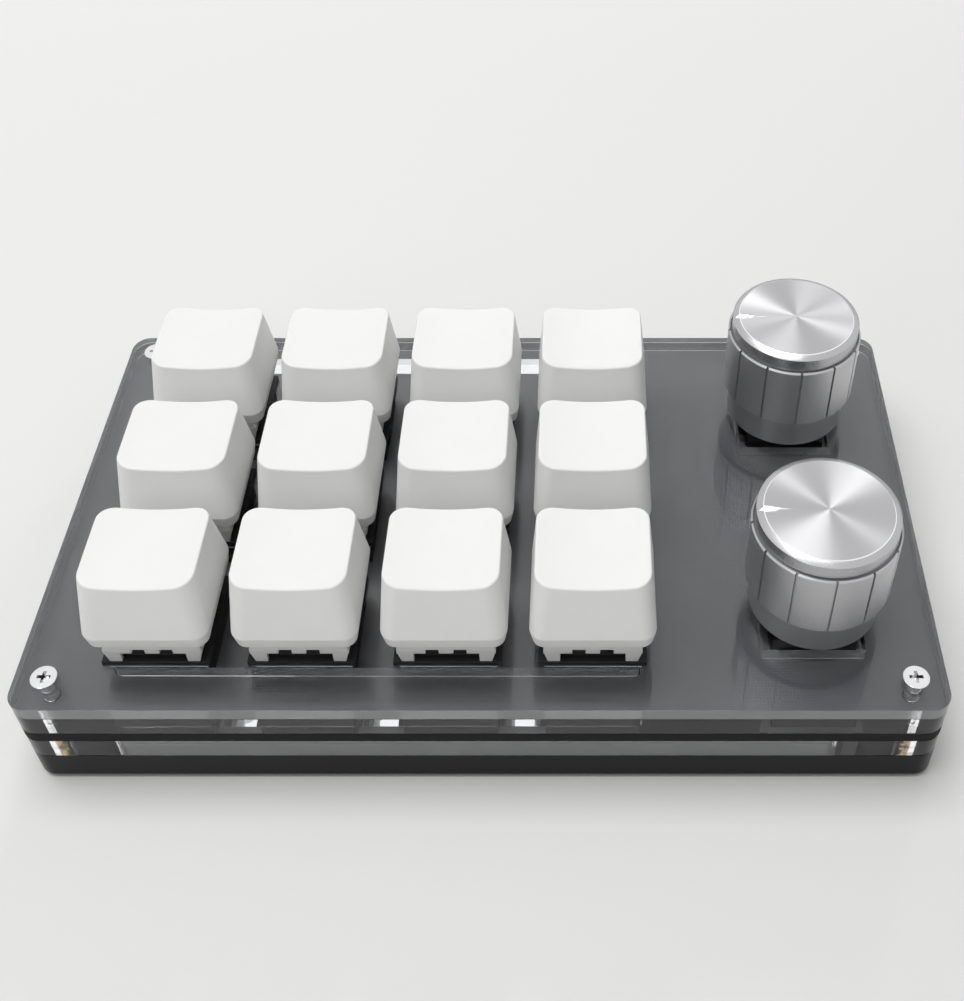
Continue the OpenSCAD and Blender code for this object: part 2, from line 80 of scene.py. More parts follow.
# The photograph's frame and the camera that fits it, in pixels and metres
PHOTO_W = 964
PHOTO_H = 1001
FOCAL_PX = 1328.9
CENTRE_X_PX = 585.8
CENTRE_Y_PX = 380.0
SENSOR = 36.0
CAMERA_PLACE = (15.08 * MM, -141.07 * MM, 181.33 * MM)
CAMERA_TILT = math.radians(46.02)


# Colour and property helpers

def linear(hex_colour, alpha=1.0):
    """An sRGB hex colour as linear red, green, blue and alpha."""
    channels = [int(hex_colour[i:i + 2], 16) / 255 for i in (1, 3, 5)]
    return [c / 12.92 if c <= 0.04045 else ((c + 0.055) / 1.055) ** 2.4 for c in channels] + [alpha]


def length(label, what, millimetres):
    """A length property with its default in millimetres."""
    return FloatProperty(name=label, description=what, default=millimetres * MM, min=0, precision=5,
                         unit="LENGTH")


def colour(label, what, hex_colour):
    """A colour property with its default as an sRGB hex value."""
    return FloatVectorProperty(name=label, description=what, default=linear(hex_colour), min=0, max=1,
                               size=4, subtype="COLOR")


class KeypadSizes(bpy.types.PropertyGroup):
    """Sizes that the frame's boxes don't hold."""

    corner_r: length("Case corner", "Radius of the case's upright corners", 3.0)
    sheet_edge: length("Sheet edge", "Rounding of the polished edges of the sheets", 0.05)
    corner_zone: length("Corner zone", "Strip at each end of the case that holds only screw holes", 9.0)
    key_cut: length("Key cut", "Side of the square cut that a key switch clips into", 14.1)
    knob_hole_r: length("Knob hole", "Radius of the round hole for an encoder's bushing", 3.75)
    knob_cut: length("Knob cut", "Side of the square cut round an encoder in the upper frame", 15.4)
    knob_cut_left: length("Knob cut offset", "Distance of a knob cut's centre left of the knob's axis", 0.4)
    screw_hole_r: length("Screw hole", "Radius of the screw holes in the clear sheets", 1.12)
    insert_hole_r: length("Insert hole", "Radius of the holes round the threaded inserts", 1.8)
    board_hole_r: length("Board hole", "Radius of the screw holes in the board", 1.2)
    pocket_side: length("Pocket side", "From an end column's centre to the side of the switch pocket", 7.4)
    pocket_front: length("Pocket front", "From the front row's centre to the pocket's front", 7.2)
    pocket_back_wall: length("Pocket back wall", "Wall behind the switch pocket", 4.4)
    pocket_r: length("Pocket corner", "Radius of the switch pocket's corners", 1.5)
    peg_hole_r: length("Peg hole", "Radius of the hole for a switch's middle peg in the board", 2.0)
    leg_hole_r: length("Leg hole", "Radius of the hole for a switch's leg in the board", 0.55)
    under_left: length("Under pocket left", "From the first column's centre to that pocket's left", 7.9)
    under_right: length("Under pocket right", "From a knob's axis to that pocket's right", 3.4)
    under_wall: length("Under pocket wall", "Wall at that pocket's front and back", 5.0)
    under_r: length("Under pocket corner", "Radius of the under pocket's corners", 2.0)
    lug_window_w: length("Lug window width", "Width of the window round an encoder's lug", 2.4)
    lug_window_d: length("Lug window depth", "Depth of the window round an encoder's lug", 4.4)
    lug_reach: length("Lug reach", "Distance of a lug's middle from the knob's axis", 6.6)
    usb_notch_w: length("USB notch", "Width of the notch in the frame round the USB socket", 10.0)
    cap_corner_r: length("Keycap rim corner", "Radius of a keycap's corners at its rim", 2.2)
    cap_top_w: length("Keycap top width", "Width of a keycap's top", 16.3)
    cap_top_d: length("Keycap top depth", "Depth of a keycap's top", 14.7)
    cap_top_r: length("Keycap top corner", "Radius of the corners of a keycap's top", 2.6)
    cap_top_back: length("Keycap top offset", "Distance of a keycap's top behind its rim's centre", 0.7)
    cap_dish: length("Keycap hollow", "Depth of the hollow across a keycap's top", 0.9)
    cap_band_h: length("Keycap band", "Height of the upright band round a keycap's rim", 2.3)
    cap_edge: length("Keycap edge", "Rounding between a keycap's top and its sides", 0.35)
    cap_tuck: length("Keycap tuck", "Distance that each side of the band is drawn in at the rim", 0.4)
    cap_wall: length("Keycap wall", "Thickness of a keycap's walls", 1.0)
    cap_roof: length("Keycap roof", "Thickness of a keycap's top", 1.5)
    boss_r: length("Keycap boss", "Radius of the boss that grips the stem", 2.75)
    boss_gap: length("Boss gap", "Height of the boss over the switch hood", 0.1)
    wire_d: length("Spring wire", "Thickness of the springs' wire", 0.32)
    body_chamfer: length("Knob body chamfer", "Bright chamfer round the top of the knob's body", 0.25)
    neck_h: length("Knob groove height", "Height from the body's top to the knob's band", 0.15)
    neck_deep: length("Knob groove depth", "Depth of the groove in the body's top", 0.3)
    neck_inset: length("Knob groove inset", "Distance of the groove's wall inside the body's radius", 0.8)
    band_inset: length("Knob band inset", "Distance of the band inside the body's radius", 0.55)
    band_h: length("Knob band height", "Height of the smooth band over the groove", 2.15)
    knob_wall: length("Knob wall", "Thickness of the shell round the knob's body", 1.3)
    bevel_w: length("Knob bevel width", "Width of the sloping ring round the face", 0.9)
    bevel_h: length("Knob bevel height", "Height of the sloping ring round the face", 0.5)
    face_lip: length("Knob face lip", "Bright cut lip between the bevel and the face", 0.15)
    flute_w: length("Flute width", "Width of the upright grooves in a knob", 0.36)
    flute_deep: length("Flute depth", "Depth of the upright grooves in a knob", 0.5)
    pointer_in: length("Pointer tip", "Distance of the pointer notch's tip from the knob's axis", 6.3)
    pointer_w: length("Pointer width", "Width of the pointer notch at the rim", 1.5)
    pointer_deep: length("Pointer depth", "Depth of the pointer notch at the rim", 0.45)
    thread_pitch: length("Thread pitch", "Pitch of the screws' thread", 0.4)
    thread_deep: length("Thread depth", "Depth of the screws' thread", 0.16)
    flute_count: IntProperty(name="Flutes", description="Number of upright grooves in a knob", default=12,
                             min=3)
    knurl_count: IntProperty(name="Knurl teeth", description="Number of teeth round an insert", default=30,
                             min=8)


class KeypadColours(bpy.types.PropertyGroup):
    """Colours of the finishes."""

    acrylic: colour("Clear acrylic", "Tint of the clear sheets", "#FDFEFF")
    cut_edge: colour("Sawn acrylic", "Sawn walls of the clear sheets", "#F2F4F5")
    # The board's grey is painted light: it is set lighter than the black solder mask, on the board under the
    # clear sheets
    board: colour("Solder mask", "Solder mask on the board, set lighter than black", "#68686A")
    board_edge: colour("Board edge", "Routed edge of the board", "#161617")
    base: colour("Black acrylic", "Solid black acrylic of the base", "#0B0B0C")
    keycap: colour("White ABS", "Moulded keycaps", "#F3F3F2")
    hood: colour("Milky polycarbonate", "Moulded switch tops", "#ECECEA")
    stem: colour("Milky acetal", "Moulded stems", "#C9C9C8")
    nylon: colour("Black nylon", "Moulded switch bases", "#111112")
    dark_steel: colour("Black-plated steel", "Pressed cases of the encoders", "#3A3A3C")
    steel: colour("Nickel-plated steel", "Screws, socket and encoder bushings", "#EAEAEB")
    brass: colour("Brass", "Threaded inserts", "#C9AE6B")
    contact: colour("Tinned brass", "Contact legs and solder", "#C8BFA4")
    face: colour("Spun aluminium", "Spun faces of the knobs", "#B8B8BA")
    cut: colour("Diamond-cut aluminium", "Bare bright cuts in the knobs", "#F2F2F3")
    body: colour("Blasted aluminium", "Blasted sides of the knobs", "#C8C8CA")
    skirt: colour("Turned aluminium", "Smooth skirts of the knobs", "#B4B4B6")
    rubber: colour("Black rubber", "Feet", "#141414")
    resin: colour("Black epoxy resin", "Chip package", "#1A1A1B")
    lamp: colour("White resin", "Lamp bodies under the keys", "#ECECE4")
    floor: colour("Floor", "Plain pale floor", "#F1F1F0")


def sizes():
    return bpy.context.scene.keypad_sizes


def colours():
    return bpy.context.scene.keypad_colours


# Materials

def add(tree, kind, settings=None, links=None):
    """Adds a node: settings go to its sockets or its own properties, links feed its sockets."""
    node = tree.nodes.new(kind)
    for name, value in (settings or {}).items():
        if isinstance(name, int) or name in node.inputs:
            node.inputs[name].default_value = value
        else:
            setattr(node, name, value)
    for name, source in (links or {}).items():
        tree.links.new(source, node.inputs[name])
    return node


def new_material(name, **shader):
    """A material with one Principled shader; keyword names are the shader's sockets with _ for spaces."""
    material = bpy.data.materials.new(name)
    material.use_nodes = True
    tree = material.node_tree
    tree.nodes.clear()
    sockets = {key.replace("_", " "): value for key, value in shader.items()}
    surface = add(tree, "ShaderNodeBsdfPrincipled", sockets)
    add(tree, "ShaderNodeOutputMaterial", links={"Surface": surface.outputs["BSDF"]})
    return material, tree, surface


def place_vector(tree):
    """The point on the piece, in its own metres."""
    return add(tree, "ShaderNodeTexCoord").outputs["Object"]


def speckle(tree, grain, detail=2.0):
    """Noise whose features are as large as grain."""
    noise = add(tree, "ShaderNodeTexNoise", {"Scale": 1 / grain, "Detail": detail},
                {"Vector": place_vector(tree)})
    return noise.outputs["Fac"]


def vary_roughness(tree, surface, source, low, high):
    """Lets the roughness wander between low and high."""
    mapped = add(tree, "ShaderNodeMapRange", {"To Min": low, "To Max": high}, {"Value": source})
    tree.links.new(mapped.outputs["Result"], surface.inputs["Roughness"])


def vary_colour(tree, surface, source, base, darker):
    """Lets the colour wander between base and a slightly darker shade of it."""
    dark = [c * darker for c in base[:3]] + [1]
    # Sockets 6 and 7 are the mix's two colours, and output 2 is its colour
    mix = add(tree, "ShaderNodeMix", {"data_type": "RGBA", 6: dark, 7: base}, {"Factor": source})
    tree.links.new(mix.outputs[2], surface.inputs["Base Color"])


def raise_relief(tree, surface, height, deep):
    """Bumps the surface by height, 0 to 1, times deep in metres."""
    bump = add(tree, "ShaderNodeBump", {"Distance": deep, "Strength": 1.0}, {"Height": height})
    tree.links.new(bump.outputs["Normal"], surface.inputs["Normal"])


def wave_scale(pitch):
    """The wave texture's scale for one band each pitch metres."""
    return math.pi / (10 * pitch)


def clear_cast_acrylic(name="cast_acrylic_polished", gloss=1.0, ior=1.49):
    """Cast acrylic with polished faces: sharp reflections, and a breath of haze. gloss 1 mirrors in full."""
    tint = colours().acrylic
    material, tree, surface = new_material(name, Base_Color=tint, Transmission_Weight=1.0, IOR=ior,
                                           Specular_Tint=(gloss, gloss, gloss, 1.0))
    vary_roughness(tree, surface, speckle(tree, 6 * MM), 0.0, 0.02)
    return material


def pressed_acrylic():
    """Faces of sheets that are pressed together: they touch, and hardly mirror."""
    return clear_cast_acrylic("cast_acrylic_pressed_together", 0.1)


def quiet_acrylic():
    """Cut walls under the plate, which hardly show from above."""
    # Their IOR is set far below acrylic's own 1.49, which would make mirrors of them
    return clear_cast_acrylic("cast_acrylic_laser_cut", 0.3, 1.12)


def sawn_acrylic():
    """Sawn walls of cast acrylic: see-through, with a pale haze from the saw's fine marks."""
    base = colours().cut_edge
    material, tree, surface = new_material("cast_acrylic_sawn", Base_Color=base, Transmission_Weight=0.7,
                                           IOR=1.49, Specular_Tint=(0.5, 0.5, 0.5, 1.0))
    vary_roughness(tree, surface, speckle(tree, 1 * MM), 0.02, 0.08)
    return material


def board_mask_with_painted_light():
    """Glass-epoxy board under solder mask: satin, with the glass weave just showing through. Its grey is
    painted light.
    """
    base = colours().board
    material, tree, surface = new_material("glass_epoxy_solder_mask_painted_light", Base_Color=base, IOR=1.5)
    place = place_vector(tree)
    # The weave's thread spacing is 0.5 mm, one set of threads along X and one along Y
    warp, weft = [add(tree, "ShaderNodeTexWave", {"Scale": wave_scale(0.5 * MM), "bands_direction": way},
                      {"Vector": place}).outputs["Fac"] for way in "XY"]
    weave = add(tree, "ShaderNodeMath", {"operation": "ADD"}, {0: warp, 1: weft})
    raise_relief(tree, surface, weave.outputs["Value"], 0.004 * MM)
    vary_roughness(tree, surface, speckle(tree, 2 * MM), 0.4, 0.5)
    vary_colour(tree, surface, speckle(tree, 4 * MM), base, 0.8)
    return material


def routed_board_edge():
    """Routed edge of the board: dull black, with the router's grain."""
    base = colours().board_edge
    material, tree, surface = new_material("glass_epoxy_routed", Base_Color=base, IOR=1.5,
                                           Specular_IOR_Level=0.15)
    raise_relief(tree, surface, speckle(tree, 0.15 * MM), 0.01 * MM)
    vary_roughness(tree, surface, speckle(tree, 1 * MM), 0.6, 0.75)
    return material


def black_cast_acrylic():
    """Solid black cast acrylic, saw-cut and polished: a dark gloss with faint handling haze."""
    base = colours().base
    material, tree, surface = new_material("black_cast_acrylic", Base_Color=base, IOR=1.49,
                                           Specular_IOR_Level=0.15)
    vary_roughness(tree, surface, speckle(tree, 5 * MM), 0.18, 0.28)
    vary_colour(tree, surface, speckle(tree, 8 * MM), base, 0.85)
    return material


def moulded_plastic(name, base, grain, deep, low, high, **shader):
    """Injection-moulded plastic: the mould's spark-eroded grain as relief and uneven gloss."""
    material, tree, surface = new_material(name, Base_Color=base, **shader)
    sand = speckle(tree, grain, 3.0)
    raise_relief(tree, surface, sand, deep)
    vary_roughness(tree, surface, speckle(tree, 12 * grain), low, high)
    vary_colour(tree, surface, speckle(tree, 30 * grain), base, 0.97)
    return material


def white_abs():
    """Moulded white ABS: a fine satin grain of about 0.15 mm."""
    return moulded_plastic("abs_moulded_white", colours().keycap, 0.15 * MM, 0.004 * MM, 0.42, 0.52,
                           IOR=1.53)


def milky_polycarbonate():
    """Moulded milky polycarbonate: light enters it and softens its edges."""
    return moulded_plastic("polycarbonate_moulded_milky", colours().hood, 0.2 * MM, 0.002 * MM, 0.25, 0.35,
                           IOR=1.58)


def milky_acetal():
    """Moulded acetal: slippery, slightly waxy gloss."""
    return moulded_plastic("acetal_moulded_milky", colours().stem, 0.2 * MM, 0.002 * MM, 0.3, 0.4, IOR=1.48)


def black_nylon():
    """Moulded black nylon: dull satin."""
    return moulded_plastic("nylon_moulded_black", colours().nylon, 0.2 * MM, 0.004 * MM, 0.55, 0.7, IOR=1.53,
                           Specular_IOR_Level=0.3)


def black_rubber():
    """Moulded rubber: matt and a little dusty."""
    return moulded_plastic("rubber_moulded_black", colours().rubber, 0.3 * MM, 0.01 * MM, 0.75, 0.9,
                           IOR=1.52)


def epoxy_resin():
    """Moulded chip package: flat black with a fine eroded grain."""
    return moulded_plastic("epoxy_resin_moulded", colours().resin, 0.1 * MM, 0.004 * MM, 0.5, 0.6, IOR=1.55)


def lamp_resin():
    """Cast white resin of the small lamps."""
    return moulded_plastic("lamp_resin_cast", colours().lamp, 0.2 * MM, 0.002 * MM, 0.3, 0.4, IOR=1.5)


def metal(name, base, low, high, grain, deep, **shader):
    """Bare or plated metal: gloss that wanders, over a faint relief from how it was worked."""
    material, tree, surface = new_material(name, Base_Color=base, Metallic=1.0, **shader)
    vary_roughness(tree, surface, speckle(tree, 6 * grain), low, high)
    vary_colour(tree, surface, speckle(tree, 20 * grain), base, 0.94)
    raise_relief(tree, surface, speckle(tree, grain, 3.0), deep)
    return material


def nickel_plated_steel():
    """Bright nickel over turned or pressed steel: a near mirror."""
    return metal("nickel_plated_steel", colours().steel, 0.06, 0.14, 0.3 * MM, 0.001 * MM)


def black_plated_steel():
    """Pressed steel under black zinc plating: dark, with a soft satin shine."""
    return metal("zinc_plated_black_steel", colours().dark_steel, 0.35, 0.5, 0.3 * MM, 0.001 * MM)


def turned_brass():
    """Turned and knurled brass: bright, with a slightly duller skin."""
    return metal("brass_turned_knurled", colours().brass, 0.15, 0.25, 0.2 * MM, 0.002 * MM)


def tinned_brass():
    """Stamped brass legs, tinned and soldered: soft bright drops."""
    return metal("brass_stamped_tinned", colours().contact, 0.25, 0.35, 0.2 * MM, 0.003 * MM)


def turned_aluminium():
    """Fine-turned clear-anodised aluminium of the skirt: smooth satin with rings round its axis."""
    base = colours().skirt
    material, tree, surface = new_material("aluminium_turned_satin", Base_Color=base, Metallic=1.0)
    # Tool rings are 0.05 mm apart on the real part and drawn 0.2 mm apart, so that they show
    rings = add(tree, "ShaderNodeTexWave", {"Scale": wave_scale(0.2 * MM), "bands_direction": "Z"},
                {"Vector": place_vector(tree)})
    raise_relief(tree, surface, rings.outputs["Fac"], 0.002 * MM)
    vary_roughness(tree, surface, speckle(tree, 1.5 * MM), 0.28, 0.36)
    return material


def blasted_aluminium():
    """Bead-blasted aluminium with a fine diagonal knurl: grey satin with a soft sparkle."""
    base = colours().body
    material, tree, surface = new_material("aluminium_blasted_knurled", Base_Color=base, Metallic=1.0)
    place = add(tree, "ShaderNodeSeparateXYZ", links={"Vector": place_vector(tree)})
    turn = add(tree, "ShaderNodeMath", {"operation": "ARCTAN2"},
               {0: place.outputs["Y"], 1: place.outputs["X"]})
    around = add(tree, "ShaderNodeMath", {"operation": "MULTIPLY", 1: knob_radius()},
                 {0: turn.outputs["Value"]})
    # The knurl's pitch is 0.3 mm on the real part and drawn at 0.42 mm, so that it shows
    turns = 2 * math.pi / (0.42 * MM)
    crossed = []
    for operation in ("ADD", "SUBTRACT"):
        slant = add(tree, "ShaderNodeMath", {"operation": operation},
                    {0: around.outputs["Value"], 1: place.outputs["Z"]})
        phase = add(tree, "ShaderNodeMath", {"operation": "MULTIPLY", 1: turns}, {0: slant.outputs["Value"]})
        crossed.append(add(tree, "ShaderNodeMath", {"operation": "SINE"}, {0: phase.outputs["Value"]}))
    knurl = add(tree, "ShaderNodeMath", {"operation": "MULTIPLY"},
                {0: crossed[0].outputs["Value"], 1: crossed[1].outputs["Value"]})
    grit = speckle(tree, 0.25 * MM, 4.0)
    relief = add(tree, "ShaderNodeMath", {"operation": "ADD"}, {0: knurl.outputs["Value"], 1: grit})
    raise_relief(tree, surface, relief.outputs["Value"], 0.006 * MM)
    vary_roughness(tree, surface, speckle(tree, 1 * MM), 0.36, 0.46)
    vary_colour(tree, surface, grit, base, 0.86)
    return material


def spun_aluminium(name, low, high, anisotropic):
    """Spun and clear-anodised aluminium: fine rings round the axis that draw light out into rays."""
    base = colours().face
    # A quarter turn puts the stretch across the rings
    material, tree, surface = new_material(name, Base_Color=base, Metallic=1.0, Anisotropic=anisotropic,
                                           Anisotropic_Rotation=0.25)
    # Rings are 0.05 mm apart on the real part and drawn 0.16 mm apart, so that they show
    rings = add(tree, "ShaderNodeTexWave", {"wave_type": "RINGS", "rings_direction": "Z",
                                            "Scale": wave_scale(0.16 * MM), "Distortion": 1.5,
                                            "Detail": 2.0},
                {"Vector": place_vector(tree)})
    tangent = add(tree, "ShaderNodeTangent", {"direction_type": "RADIAL", "axis": "Z"})
    tree.links.new(tangent.outputs["Tangent"], surface.inputs["Tangent"])
    vary_roughness(tree, surface, rings.outputs["Fac"], low, high)
    vary_colour(tree, surface, rings.outputs["Fac"], base, 0.95)
    return material


def diamond_cut_aluminium():
    """Edges and the pointer, cut with a diamond tool after the anodising: bare and bright."""
    return metal("aluminium_diamond_cut", colours().cut, 0.12, 0.2, 0.2 * MM, 0.001 * MM)


def pale_floor():
    """Plain painted floor: matt and pale."""
    base = colours().floor
    material, tree, surface = new_material("painted_floor_matt", Base_Color=base, Specular_IOR_Level=0.1,
                                           Emission_Color=(1, 1, 1, 1))
    vary_roughness(tree, surface, speckle(tree, 40 * MM), 0.8, 0.9)
    # The lamps' light falls off with distance. A glow that only the camera sees grows from 0.1 m out to
    # 0.9 m, and keeps the far floor pale
    place = add(tree, "ShaderNodeNewGeometry").outputs["Position"]
    away = add(tree, "ShaderNodeVectorMath", {"operation": "LENGTH"}, {0: place}).outputs["Value"]
    glow = add(tree, "ShaderNodeMapRange", {"interpolation_type": "SMOOTHSTEP", "From Min": 0.1,
                                            "From Max": 0.9, "To Max": 0.5}, {"Value": away})
    seen = add(tree, "ShaderNodeLightPath").outputs["Is Camera Ray"]
    strength = add(tree, "ShaderNodeMath", {"operation": "MULTIPLY"}, {0: glow.outputs["Result"], 1: seen})
    tree.links.new(strength.outputs["Value"], surface.inputs["Emission Strength"])
    return material


# Mesh helpers

def finish_mesh(bm, name, materials, weld=True, sharp=SHARP_ANGLE, even=False):
    """Cleans a bmesh and makes a smooth-shaded object of it. even keeps the shading of large faces flat."""
    if weld:
        bmesh.ops.remove_doubles(bm, verts=bm.verts, dist=WELD)
        bmesh.ops.dissolve_degenerate(bm, edges=bm.edges, dist=WELD)
    bmesh.ops.recalc_face_normals(bm, faces=bm.faces)
    mesh = bpy.data.meshes.new(name)
    bm.to_mesh(mesh)
    bm.free()
    for material in materials:
        mesh.materials.append(material)
    mesh.shade_smooth()
    mesh.set_sharp_from_angle(angle=sharp)
    piece = bpy.data.objects.new(name, mesh)
    bpy.context.scene.collection.objects.link(piece)
    if even:
        weighted = piece.modifiers.new("even", "WEIGHTED_NORMAL")
        weighted.keep_sharp = True
        bake(piece)
    return piece


def bake(piece):
    """Turns a piece's modifiers into its own mesh."""
    bpy.context.view_layer.update()
    baked = bpy.data.meshes.new_from_object(piece.evaluated_get(bpy.context.evaluated_depsgraph_get()))
    piece.modifiers.clear()
    old = piece.data
    piece.data = baked
    bpy.data.meshes.remove(old)


def stand_for(piece, body, slot, *nodes):
    """The piece rides on a body and stands for the nodes. The slot is not used."""
    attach(piece, body)
    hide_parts(*nodes)
    return piece


def loft(bm, rings, strip_materials=None, cap_ends=True):
    """Skins rings of as many points each. strip_materials gives each strip's material index."""
    count = len(rings[0])
    verts = [[bm.verts.new(point) for point in ring] for ring in rings]
    for i in range(len(rings) - 1):
        for j in range(count):
            k = (j + 1) % count
            face = bm.faces.new((verts[i][j], verts[i][k], verts[i + 1][k], verts[i + 1][j]))
            if strip_materials:
                face.material_index = strip_materials[i]
    if cap_ends:
        bm.faces.new(verts[0][::-1])
        bm.faces.new(verts[-1])


def lathe(name, profile, angles, materials, reach=None, strip_materials=None):
    """Turns (radius, height) pairs round Z. reach(angle, radius, height) may change a radius."""
    rings = []
    for radius, height in profile:
        ring = []
        for angle in angles:
            r = reach(angle, radius, height) if reach else radius
            ring.append((r * math.cos(angle), r * math.sin(angle), height))
        rings.append(ring)
    bm = bmesh.new()
    loft(bm, rings, strip_materials, cap_ends=False)
    return finish_mesh(bm, name, materials)


def even_angles(count):
    return [2 * math.pi * i / count for i in range(count)]


def rounded_rect(w, d, r, x=0.0, y=0.0, arc_steps=8, side_steps=1):
    """Points round a rectangle with round corners, as many for any size."""
    points = []
    for corner in range(4):
        a0 = corner * math.pi / 2
        cx = x + (w / 2 - r) * (1 if corner in (0, 3) else -1)
        cy = y + (d / 2 - r) * (1 if corner in (0, 1) else -1)
        for step in range(arc_steps + 1):
            a = a0 + math.pi / 2 * step / arc_steps
            points.append((cx + r * math.cos(a), cy + r * math.sin(a)))
        a1 = a0 + math.pi / 2
        nx = x + (w / 2 - r) * (1 if corner in (2, 3) else -1)
        ny = y + (d / 2 - r) * (1 if corner in (3, 0) else -1)
        start = points[-1]
        end = (nx + r * math.cos(a1), ny + r * math.sin(a1))
        for step in range(1, side_steps):
            t = step / side_steps
            points.append((start[0] + (end[0] - start[0]) * t, start[1] + (end[1] - start[1]) * t))
    return points


def square_loop(side, x, y):
    h = side / 2
    return [(x - h, y - h), (x + h, y - h), (x + h, y + h), (x - h, y + h)]


def circle_loop(r, x, y, count=48):
    return [(x + r * math.cos(a), y + r * math.sin(a)) for a in even_angles(count)]


def cut_sheet(name, loops, z0, z1, edge, materials, pick):
    """A flat sheet from closed loops, outline first, with soft edges. pick gives a face's material index."""
    # The curve is made in millimetres, because fills are coarse at the scale of metres
    curve = bpy.data.curves.new(name, "CURVE")
    curve.dimensions = "2D"
    curve.fill_mode = "BOTH"
    curve.extrude = ((z1 - z0) / 2 - edge) / MM
    curve.bevel_depth = edge / MM
    curve.bevel_resolution = 1
    curve.offset = -edge / MM
    for loop in loops:
        spline = curve.splines.new("POLY")
        spline.points.add(len(loop) - 1)
        for point, (x, y) in zip(spline.points, loop):
            point.co = (x / MM, y / MM, 0, 1)
        spline.use_cyclic_u = True
    source = bpy.data.objects.new(name, curve)
    bpy.context.scene.collection.objects.link(source)
    bpy.context.view_layer.update()
    solid = bpy.data.meshes.new_from_object(source.evaluated_get(bpy.context.evaluated_depsgraph_get()))
    bpy.data.objects.remove(source)
    bm = bmesh.new()
    bm.from_mesh(solid)
    bpy.data.meshes.remove(solid)
    for vert in bm.verts:
        vert.co = vert.co * MM + Vector((0, 0, (z0 + z1) / 2))
    bm.normal_update()
    for face in bm.faces:
        face.material_index = pick(face.calc_center_median(), face.normal)
    return finish_mesh(bm, name, materials, sharp=FLAT_ANGLE)


def soften(node, width, name, material, slot):
    """Stands for a CAD node of the case with a copy whose sharp edges are rounded."""
    bm = bmesh.new()
    bm.from_mesh(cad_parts[node].data)
    bmesh.ops.remove_doubles(bm, verts=bm.verts, dist=WELD)
    bmesh.ops.dissolve_limit(bm, angle_limit=math.radians(1), verts=bm.verts, edges=bm.edges)
    sharp = [e for e in bm.edges if e.is_manifold and e.calc_face_angle(0) > SHARP_ANGLE]
    bmesh.ops.bevel(bm, geom=sharp, offset=width, segments=2, profile=0.5, affect="EDGES",
                    clamp_overlap=False)
    for face in bm.faces:
        face.material_index = 0
    stand_for(finish_mesh(bm, name, [material], weld=False), "case", slot, node)


def cut_away(piece, name, ends, materials):
    """Takes the solid between two outlines out of the piece."""
    bm = bmesh.new()
    loft(bm, ends)
    cutter = finish_mesh(bm, name, materials, weld=False)
    modifier = piece.modifiers.new("cut", "BOOLEAN")
    modifier.operation = "DIFFERENCE"
    modifier.solver = "EXACT"
    modifier.material_mode = "TRANSFER"
    modifier.object = cutter
    bake(piece)
    bpy.data.objects.remove(cutter)
    piece.data.set_sharp_from_angle(angle=SHARP_ANGLE)


def copies(piece, places, names):
    """Copies of a piece with their own meshes, the first place kept by the piece itself."""
    made = [piece]
    for _ in places[1:]:
        twin = piece.copy()
        twin.data = piece.data.copy()
        bpy.context.scene.collection.objects.link(twin)
        made.append(twin)
    for twin, place, name in zip(made, places, names):
        twin.location = place
        twin.name = name
        twin.data.name = name
    return made


def joined(name, pieces, body, slot, *nodes):
    """Joins like pieces into one object that stands for a group node."""
    bm = bmesh.new()
    for piece in pieces:
        bpy.context.view_layer.update()
        part = piece.data.copy()
        part.transform(piece.matrix_world)
        bm.from_mesh(part)
        bpy.data.meshes.remove(part)
    materials = list(pieces[0].data.materials)
    for piece in pieces:
        bpy.data.objects.remove(piece)
    return stand_for(finish_mesh(bm, name, materials, weld=False), body, slot, *nodes)


def coil(name, x, y, z0, z1, r, wire, material, turns=8, steps=20, sides=6):
    """A wound spring of round wire, with closed ends that lie nearly flat."""
    bm = bmesh.new()
    rings = []
    rise = z1 - z0 - wire
    for i in range(turns * steps + 1):
        t = i / (turns * steps)
        a = 2 * math.pi * turns * t
        eased = t * t * (3 - 2 * t) * 0.5 + t * 0.5
        centre = Vector((x + r * math.cos(a), y + r * math.sin(a), z0 + wire / 2 + rise * eased))
        out = Vector((math.cos(a), math.sin(a), 0))
        up = Vector((0, 0, 1))
        rings.append([centre + (out * math.cos(b) + up * math.sin(b)) * wire / 2
                      for b in even_angles(sides)])
    loft(bm, rings)
    return finish_mesh(bm, name, [material], weld=False)


def give(node, material):
    """Puts a finish on a CAD node that keeps its shape."""
    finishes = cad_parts[node].data.materials
    finishes.clear()
    finishes.append(material)


# Places from the frame

def middle(node):
    """The centre of a node's box in plan, and its lowest and highest heights."""
    low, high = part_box(node)
    return (low.x + high.x) / 2, (low.y + high.y) / 2, low.z, high.z


def knob_radius():
    low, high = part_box("knob_shell_front")
    return (high.x - low.x) / 2


def screw_places():
    """The screws' axes, a head's radius inside the corners of their box."""
    low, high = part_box("corner_screws")
    return [(low.x + SCREW_HEAD_R if x < 0 else high.x - SCREW_HEAD_R,
             low.y + SCREW_HEAD_R if y < 0 else high.y - SCREW_HEAD_R) for x, y in CORNERS]


# Operators

